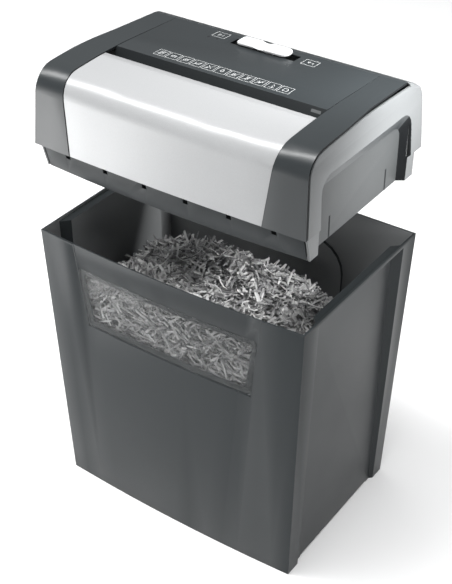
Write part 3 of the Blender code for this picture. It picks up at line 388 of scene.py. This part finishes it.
# Faces that look into the seams get near-black painted shade
add_finish(refined("front_fascia", SILVER, "head", 0, sharp=50), PAINTED_SHADE, faces_sideways)
cover = refined("top_cover", CHARCOAL, "head", 0.0005, 2)
# The feed slot's walls get painted shade
add_finish(cover, THROAT_SHADE, faces_throat)
# Painted shade in the seams beside the cover
add_finish(cover, PAINTED_SHADE, faces_sideways)
for side in SIDES:
    band = refined(f"end_band_{side}", CHARCOAL, "head", 0, sharp=50)
    # Painted shade in the seams beside the band
    add_finish(band, PAINTED_SHADE, faces_sideways)
refined("rear_panel", CHARCOAL, "head", 0.0004, 2)
for side in SIDES:
    # The cheeks get the lighter grey of painted light
    cheek = refined(f"side_cheek_{side}", CHEEK_PAINTED_LIGHT, "head", 0.0007)
    # The pockets' linings get the darker painted shade
    add_finish(cheek, GRIP_SHADE, faces_into_pocket)
    # The pockets' roofs get the dark charcoal as painted shade
    add_finish(cheek, CHARCOAL, roofs_pocket)
    # The pockets' rear ends get near-black painted shade
    add_finish(cheek, PAINTED_SHADE, closes_pocket)
refined("lower_housing", SATIN, "head", 0.0003, 2)
refined("mode_slider", LIGHT, "slider", 0.0010)

FINISH_OF_SLOT = {"light_plastic": LIGHT, "black_plastic": BLACK, "nylon": NYLON, "steel": STEEL,
                  "bronze": BRONZE, "rubber": RUBBER, "circuit_board": BOARD}
for entry in frame["record"]["subparts"]:
    if entry["material_slot"] in FINISH_OF_SLOT and not NODES[entry["node"]].hide_render:
        repaint(entry["node"], FINISH_OF_SLOT[entry["material_slot"]])
for side in SIDES:
    repaint(f"frame_plate_{side}", ZINC)


# ---------------------------------------------------------------- printing and small marks

def surface_of(node):
    """A node's surface, ready for ray casts."""
    bm = bmesh.new()
    bm.from_mesh(NODES[node].data)
    tree = BVHTree.FromBMesh(bm)
    bm.free()
    return tree


COVER = surface_of("top_cover")


def cover_height(x, y):
    """The height of the top cover above a place."""
    hit = COVER.ray_cast(Vector((x, y, ABOVE_HEAD)), Vector((0, 0, -1)))[0]
    return hit.z if hit else COVER_TOP


def closed_prism(bm, low, high):
    """Joins two outlines with the same number of points into one closed body."""
    base = [bm.verts.new(point) for point in low]
    top = [bm.verts.new(point) for point in high]
    count = len(base)
    for i in range(count):
        j = (i + 1) % count
        bm.faces.new((base[i], base[j], top[j], top[i]))
    bm.faces.new(list(reversed(base)))
    bm.faces.new(top)


def ink_patch(bm, outline):
    """A thin raised patch that follows the top cover."""
    low = [(x, y, cover_height(x, y) - INK_THICK) for x, y in outline]
    high = [(x, y, z + 2 * INK_THICK) for x, y, z in low]
    closed_prism(bm, low, high)


def ink_line(bm, points, closed=False, width=INK_WIDTH):
    """A printed line through the points, as one flat bar per stretch."""
    following = points[1:] + points[:1] if closed else points[1:]
    for start, end in zip(points, following):
        start, end = Vector(start), Vector(end)
        along = (end - start).normalized() * width / 2
        across = Vector((-along.y, along.x))
        ink_patch(bm, [start - along - across, end + along - across, end + along + across,
                       start - along + across])


def ring(radius, steps=12, centre=(0, 0)):
    turns = [math.tau * i / steps for i in range(steps)]
    return [(centre[0] + radius * math.cos(t), centre[1] + radius * math.sin(t)) for t in turns]


# Simple drawings as strokes: points from -1 to 1 across the sign, and whether the line closes
CROSS_OUT = ([(-0.8, -0.8), (0.8, 0.8)], False)
SHEET = ([(-0.5, -0.7), (0.5, -0.7), (0.5, 0.7), (-0.5, 0.7)], True)
SYMBOLS = [
    [SHEET, ([(-0.25, 0.3), (0.25, 0.3)], False), ([(-0.25, 0.0), (0.25, 0.0)], False), CROSS_OUT],
    [([(-0.6, -0.3), (0.6, -0.3), (0.6, 0.4), (-0.6, 0.4)], True), ([(-0.6, 0.1), (0.6, 0.1)], False)],
    [(ring(0.55), True), (ring(0.2, 8), True), CROSS_OUT],
    [([(-0.6, 0.5), (-0.6, -0.4), (0.6, -0.4), (0.6, 0.5)], False), CROSS_OUT],
    [([(-0.6, 0.6), (0.6, -0.6)], False), (ring(0.25, 8, centre=(-0.45, -0.45)), True), CROSS_OUT],
    [([(0, 0.75), (0.4, 0), (0.25, -0.5), (-0.25, -0.5), (-0.4, 0)], True),
     ([(-0.2, -0.2), (0.2, -0.2)], False)],
    [([(-0.5, 0.6), (-0.5, -0.6), (0.5, -0.6)], False), ([(-0.1, 0.6), (-0.1, -0.2), (0.5, -0.2)], False),
     CROSS_OUT],
    [([(-0.3, 0.7), (0.3, 0.7), (0.15, 0.3), (0.35, -0.5), (0, -0.75), (-0.35, -0.5), (-0.15, 0.3)], True),
     CROSS_OUT],
    [([(-0.7, 0.0), (-0.35, 0.5), (0, -0.5), (0.35, 0.5), (0.7, 0.0)], False), CROSS_OUT],
    [([(-0.2, 0.75), (0.35, 0.15), (-0.1, 0.1), (0.2, -0.75)], False), ([(-0.7, -0.7), (0.7, -0.7)], False)],
    [([(-0.55, 0.6), (-0.55, -0.6), (0.55, -0.6), (0.55, 0.2), (0.15, 0.6)], True)],
]
ARROW_ON = [([(-0.5, -0.5), (-0.5, 0.5), (0.1, 0.0)], True), ([(0.5, -0.5), (0.5, 0.5)], False)]
ARROW_BACK = [([(0.6, -0.5), (0.6, 0.2), (-0.6, 0.2)], False),
              ([(-0.2, 0.6), (-0.6, 0.2), (-0.2, -0.2)], False)]


def sign(bm, place, size, strokes):
    """A thin frame with a simple drawing in it."""
    half_x, half_y = size[0] / 2, size[1] / 2
    x, y = place
    frame_line = [(x - half_x, y - half_y), (x + half_x, y - half_y), (x + half_x, y + half_y),
                  (x - half_x, y + half_y)]
    ink_line(bm, frame_line, True)
    for points, closed in strokes:
        placed = [(x + a * half_x * SYMBOL_SHARE, y + b * half_y * SYMBOL_SHARE) for a, b in points]
        ink_line(bm, placed, closed, SYMBOL_INK_WIDTH)


def build_signs():
    """The row of safety signs beside the slot, and the signs at both ends of the slider."""
    bm = bmesh.new()
    for i in range(SIGN_COUNT):
        sign(bm, (SIGN_FIRST + i * SIGN_PITCH, SIGN_Y), SIGN_SIZE, SYMBOLS[i])
    sign(bm, FORWARD_PLACE, DIRECTION_SIZE, ARROW_ON)
    sign(bm, REVERSE_PLACE, DIRECTION_SIZE, ARROW_BACK)
    bmesh.ops.recalc_face_normals(bm, faces=bm.faces)
    new_object("printed_signs", bm, INK, "head")


def build_feed_mark():
    """A short pale ledge at the right end of the feed slot."""
    bm = bmesh.new()
    (left, right), (front, rear) = FEED_MARK
    ink_patch(bm, [(left, front), (right, front), (right, rear), (left, rear)])
    bmesh.ops.recalc_face_normals(bm, faces=bm.faces)
    # The mark is drawn in the same grey as the cheeks
    new_object("feed_mark", bm, CHEEK_PAINTED_LIGHT, "head")


def build_lenses():
    """Two small dark lenses that show the running direction."""
    bm = bmesh.new()
    for x, y in LENS_PLACES:
        rim = ring(LENS_RADIUS, 16, centre=(x, y))
        z = cover_height(x, y)
        low = [(a, b, z - LENS_DEPTH) for a, b in rim]
        high = [(x + (a - x) * LENS_TAPER, y + (b - y) * LENS_TAPER, z + LENS_RISE) for a, b in rim]
        closed_prism(bm, low, high)
    bmesh.ops.recalc_face_normals(bm, faces=bm.faces)
    new_object("direction_lamps", bm, BLACK, "head")


def build_slits():
    """Narrow slits in the floor of both hand pockets, drawn as thin near-black sheets of painted shade."""
    bm = bmesh.new()
    low, high = SLIT_HEIGHTS
    for side in (-1, 1):
        for y in SLIT_PLACES:
            front, rear = y - SLIT_HALF, y + SLIT_HALF
            corners = [(front, low), (rear, low), (rear, high), (front, high)]
            inner = [(side * (POCKET_FLOOR - SLIT_DEPTH), a, b) for a, b in corners]
            outer = [(side * (POCKET_FLOOR + SLIT_RISE), a, b) for a, b in corners]
            closed_prism(bm, inner, outer)
    bmesh.ops.recalc_face_normals(bm, faces=bm.faces)
    new_object("pocket_slits", bm, PAINTED_SHADE, "head")


build_signs()
build_feed_mark()
build_lenses()
build_slits()


# ---------------------------------------------------------------- shredded paper

STRIP_LENGTH, STRIP_WIDTH, STRIP_THICK = (0.010, 0.024), (0.0014, 0.0026), 0.00022
STRIP_CURL, STRIP_TWIST, STRIP_STEPS = 55, 0.6, 4

# The heap: where its slopes start, measured from the middle, and how steep they get
HEAP_LEVEL, HEAP_LIMIT = 0.2740, 0.2800
SLOPE_LEFT, SLOPE_RIGHT, SLOPE_REAR = (0.030, 5.3), (0.030, 3.5), (0.012, 22.0)
FRONT_RISE, FRONT_RISE_START, FRONT_RISE_REACH = 0.005, -0.03, 0.05
RIPPLE, FINE_RIPPLE = 0.0030, 0.0015

# Loose strips: in the heap, and in the layer behind the window
HEAP_COUNT, HEAP_HALF_WIDTH, HEAP_ENDS, HEAP_DEPTH = 7000, 0.136, (-0.095, 0.092), 0.014
HEAP_TILT, HEAP_ROLL = 0.30, 0.6
WINDOW_COUNT, WINDOW_HALF_WIDTH, WINDOW_HEIGHTS = 2600, 0.108, (0.205, 0.290)
WINDOW_DEPTHS, WINDOW_BELOW_HEAP = (0.0005, 0.010), 0.002
WINDOW_YAW, WINDOW_TILT, WINDOW_ROLL = 0.25, 1.2, 0.35

# Solid core under the loose strips
CORE_HALF, CORE_MIDDLE_Y, CORE_CELLS = (0.130, 0.084), -0.001, (36, 26)
CORE_BELOW_HEAP, CORE_TOP, CORE_BASE = 0.012, 0.268, 0.150


def fall_off(distance, start, amount):
    return amount * max(distance - start, 0) ** 2


def heap_height(x, y):
    """The heap is highest in the middle, steep towards the left and gentler to the right and rear."""
    level = HEAP_LEVEL - fall_off(-x, *SLOPE_LEFT) - fall_off(x, *SLOPE_RIGHT) - fall_off(y, *SLOPE_REAR)
    broad = RIPPLE * math.sin(61 * x + 1.3) * math.sin(83 * y + 0.4)
    ripple = broad + FINE_RIPPLE * math.sin(190 * x + 70 * y)
    return level + ripple + FRONT_RISE * min(max((FRONT_RISE_START - y) / FRONT_RISE_REACH, 0), 1)


def wall_front(z):
    """How far to the front a strip may reach at a height, before the wall's bow is added."""
    return BIN_FRONT_BASE + (BIN_FRONT_TOP - BIN_FRONT_BASE) * z / BIN_HEIGHT + BIN_WALL + PAPER_GAP


def wall_rear(z):
    return BIN_REAR_BASE + (BIN_REAR_TOP - BIN_REAR_BASE) * z / BIN_HEIGHT - 2 * BIN_WALL - 3 * PAPER_GAP


def wall_side(z):
    half = BIN_HALF_BASE + (BIN_HALF_TOP - BIN_HALF_BASE) * z / BIN_HEIGHT
    return half - BIN_SIDE_HOLLOW - PAPER_GAP


def front_bow(x):
    return -BIN_BULGE * (1 - (x / BIN_HALF_TOP) ** 2)


def add_strip(bm, centre, yaw, tilt, roll, rng):
    """One cut strip: a thin closed ribbon that curls along its length and twists a little."""
    length, width = rng.uniform(*STRIP_LENGTH), rng.uniform(*STRIP_WIDTH)
    curl, twist = rng.uniform(-STRIP_CURL, STRIP_CURL), rng.uniform(-STRIP_TWIST, STRIP_TWIST)
    along = Vector((math.cos(yaw) * math.cos(tilt), math.sin(yaw) * math.cos(tilt), math.sin(tilt)))
    across = Vector((-math.sin(yaw), math.cos(yaw), 0))
    up = along.cross(across)
    across = across * math.cos(roll) + up * math.sin(roll)
    up = along.cross(across)
    sections = []
    for i in range(STRIP_STEPS + 1):
        t = i / STRIP_STEPS - 0.5
        lift = 0.5 * curl * (t * length) ** 2
        turn = twist * t
        middle = centre + along * (t * length) + up * lift
        side = across * math.cos(turn) + up * math.sin(turn)
        face = up * math.cos(turn) - across * math.sin(turn)
        section = []
        for a, b in ((-1, -1), (1, -1), (1, 1), (-1, 1)):
            offset = b * STRIP_THICK / 2
            point = middle + side * (a * width / 2) + face * offset
            point.z = min(point.z, HEAP_LIMIT + offset)
            point.y = max(point.y, wall_front(point.z) + front_bow(point.x) + offset)
            point.y = min(point.y, wall_rear(point.z) + offset)
            reach = wall_side(point.z)
            point.x = min(max(point.x, -reach + offset), reach + offset)
            section.append(bm.verts.new(point))
        sections.append(section)
    for low, high in zip(sections, sections[1:]):
        for i in range(4):
            j = (i + 1) % 4
            bm.faces.new((low[i], low[j], high[j], high[i]))
    bm.faces.new(list(reversed(sections[0])))
    bm.faces.new(sections[-1])


def add_heap(bm, rng):
    for _ in range(HEAP_COUNT):
        x, y = rng.uniform(-HEAP_HALF_WIDTH, HEAP_HALF_WIDTH), rng.uniform(*HEAP_ENDS)
        depth = rng.uniform(0.0, HEAP_DEPTH)
        centre = Vector((x, y, heap_height(x, y) - depth))
        add_strip(bm, centre, rng.uniform(0, math.tau), rng.gauss(0, HEAP_TILT), rng.gauss(0, HEAP_ROLL), rng)


def add_window_layer(bm, rng):
    """Strips that lie flat against the window, below the top of the heap."""
    for _ in range(WINDOW_COUNT):
        x, z = rng.uniform(-WINDOW_HALF_WIDTH, WINDOW_HALF_WIDTH), rng.uniform(*WINDOW_HEIGHTS)
        y = wall_front(z) + front_bow(x) + rng.uniform(*WINDOW_DEPTHS)
        if z > heap_height(x, y) - WINDOW_BELOW_HEAP:
            continue
        yaw = rng.choice((0, math.pi)) + rng.gauss(0, WINDOW_YAW)
        tilt = rng.uniform(-WINDOW_TILT, WINDOW_TILT)
        add_strip(bm, Vector((x, y, z)), yaw, tilt, math.pi / 2 + rng.gauss(0, WINDOW_ROLL), rng)


def build_strips():
    rng = random.Random(7)
    bm = bmesh.new()
    add_heap(bm, rng)
    add_window_layer(bm, rng)
    bmesh.ops.recalc_face_normals(bm, faces=bm.faces)
    strips = new_object("paper_strips", bm, PAPER, "bin")
    strips.data.shade_flat()


def build_core():
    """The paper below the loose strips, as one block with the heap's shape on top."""
    bm = bmesh.new()
    bmesh.ops.create_grid(bm, x_segments=CORE_CELLS[0], y_segments=CORE_CELLS[1], size=1)
    for vertex in bm.verts:
        x, y = vertex.co.x * CORE_HALF[0], CORE_MIDDLE_Y + vertex.co.y * CORE_HALF[1]
        vertex.co = Vector((x, y, min(heap_height(x, y) - CORE_BELOW_HEAP, CORE_TOP)))
    swept = bmesh.ops.extrude_face_region(bm, geom=bm.faces[:])
    for item in swept["geom"]:
        if isinstance(item, bmesh.types.BMVert):
            item.co.z = CORE_BASE
    bmesh.ops.recalc_face_normals(bm, faces=bm.faces)
    new_object("paper_core", bm, PAPER, "bin")


build_strips()
build_core()


# ---------------------------------------------------------------- camera, floor and lights

HEAD_MIDDLE = (0, 0, 0.43)
FLOOR_HALF, FLOOR_CELLS = 6, 8
SKY_COLOUR, SKY_STRENGTH = (0.93, 0.95, 0.97, 1), 0.16

# Softboxes: name, place, target, width and depth, watts, spread of the beam in degrees
SOFTBOXES = (
    ("overhead", (0.3, -0.3, 2.6), HEAD_MIDDLE, (2.2, 2.2), 78, 180),
    ("rear_left", (-2.2, 2.2, 2.2), HEAD_MIDDLE, (1.8, 1.8), 2, 180),
    ("front_high", (-1.1, -0.45, 2.2), HEAD_MIDDLE, (2.0, 0.35), 44, 180),
    ("front_left", (-0.85, -0.85, 0.22), (-0.12, -0.10, 0.32), (0.5, 0.4), 2.2, 180),
    ("low_left", (-0.68, -0.50, 0.12), (-0.68, -0.10, 0.44), (0.60, 0.30), 2.5, 180),
    ("front_right", (0.5, -2.1, 0.85), (0, 0, 0.30), (1.0, 0.6), 6, 180),
    ("right_rear", (0.40, 0.14, 0.60), (0.146, 0.05, 0.45), (0.12, 0.10), 0.42, 40),
)

def build_camera():
    data = bpy.data.cameras.new("camera")
    data.lens, data.sensor_width = LENS, SENSOR
    data.clip_end = CLIP_END
    camera = bpy.data.objects.new("camera", data)
    camera.location = CAMERA_PLACE
    camera.rotation_euler = (math.radians(90 - VIEW_ELEVATION), 0, math.radians(VIEW_AZIMUTH))
    bpy.context.scene.collection.objects.link(camera)
    bpy.context.scene.camera = camera


def build_floor():
    bm = bmesh.new()
    bmesh.ops.create_grid(bm, x_segments=FLOOR_CELLS, y_segments=FLOOR_CELLS, size=FLOOR_HALF)
    mesh = bpy.data.meshes.new("studio_floor")
    bm.to_mesh(mesh)
    bm.free()
    floor = bpy.data.objects.new("studio_floor", mesh)
    bpy.context.scene.collection.objects.link(floor)
    floor.data.materials.append(pale_floor())


def softbox(name, place, target, size, power, spread):
    """An area light that faces the target, with its width along X."""
    data = bpy.data.lights.new(name, "AREA")
    data.shape = "RECTANGLE"
    data.size, data.size_y = size
    data.energy = power
    data.spread = math.radians(spread)
    lamp = bpy.data.objects.new(name, data)
    lamp.location = place
    back = (Vector(place) - Vector(target)).normalized()
    side = (Vector((1, 0, 0)) - back * back.x).normalized()
    lamp.rotation_euler = Matrix((side, back.cross(side), back)).transposed().to_euler()
    lamp.visible_camera = False
    bpy.context.scene.collection.objects.link(lamp)


def build_lights():
    world = bpy.data.worlds.new("studio")
    world.use_nodes = True
    background = world.node_tree.nodes["Background"]
    background.inputs["Color"].default_value = SKY_COLOUR
    background.inputs["Strength"].default_value = SKY_STRENGTH
    bpy.context.scene.world = world
    for lamp in SOFTBOXES:
        softbox(*lamp)


build_camera()
build_floor()
build_lights()
bpy.context.scene.view_settings.view_transform = "Standard"
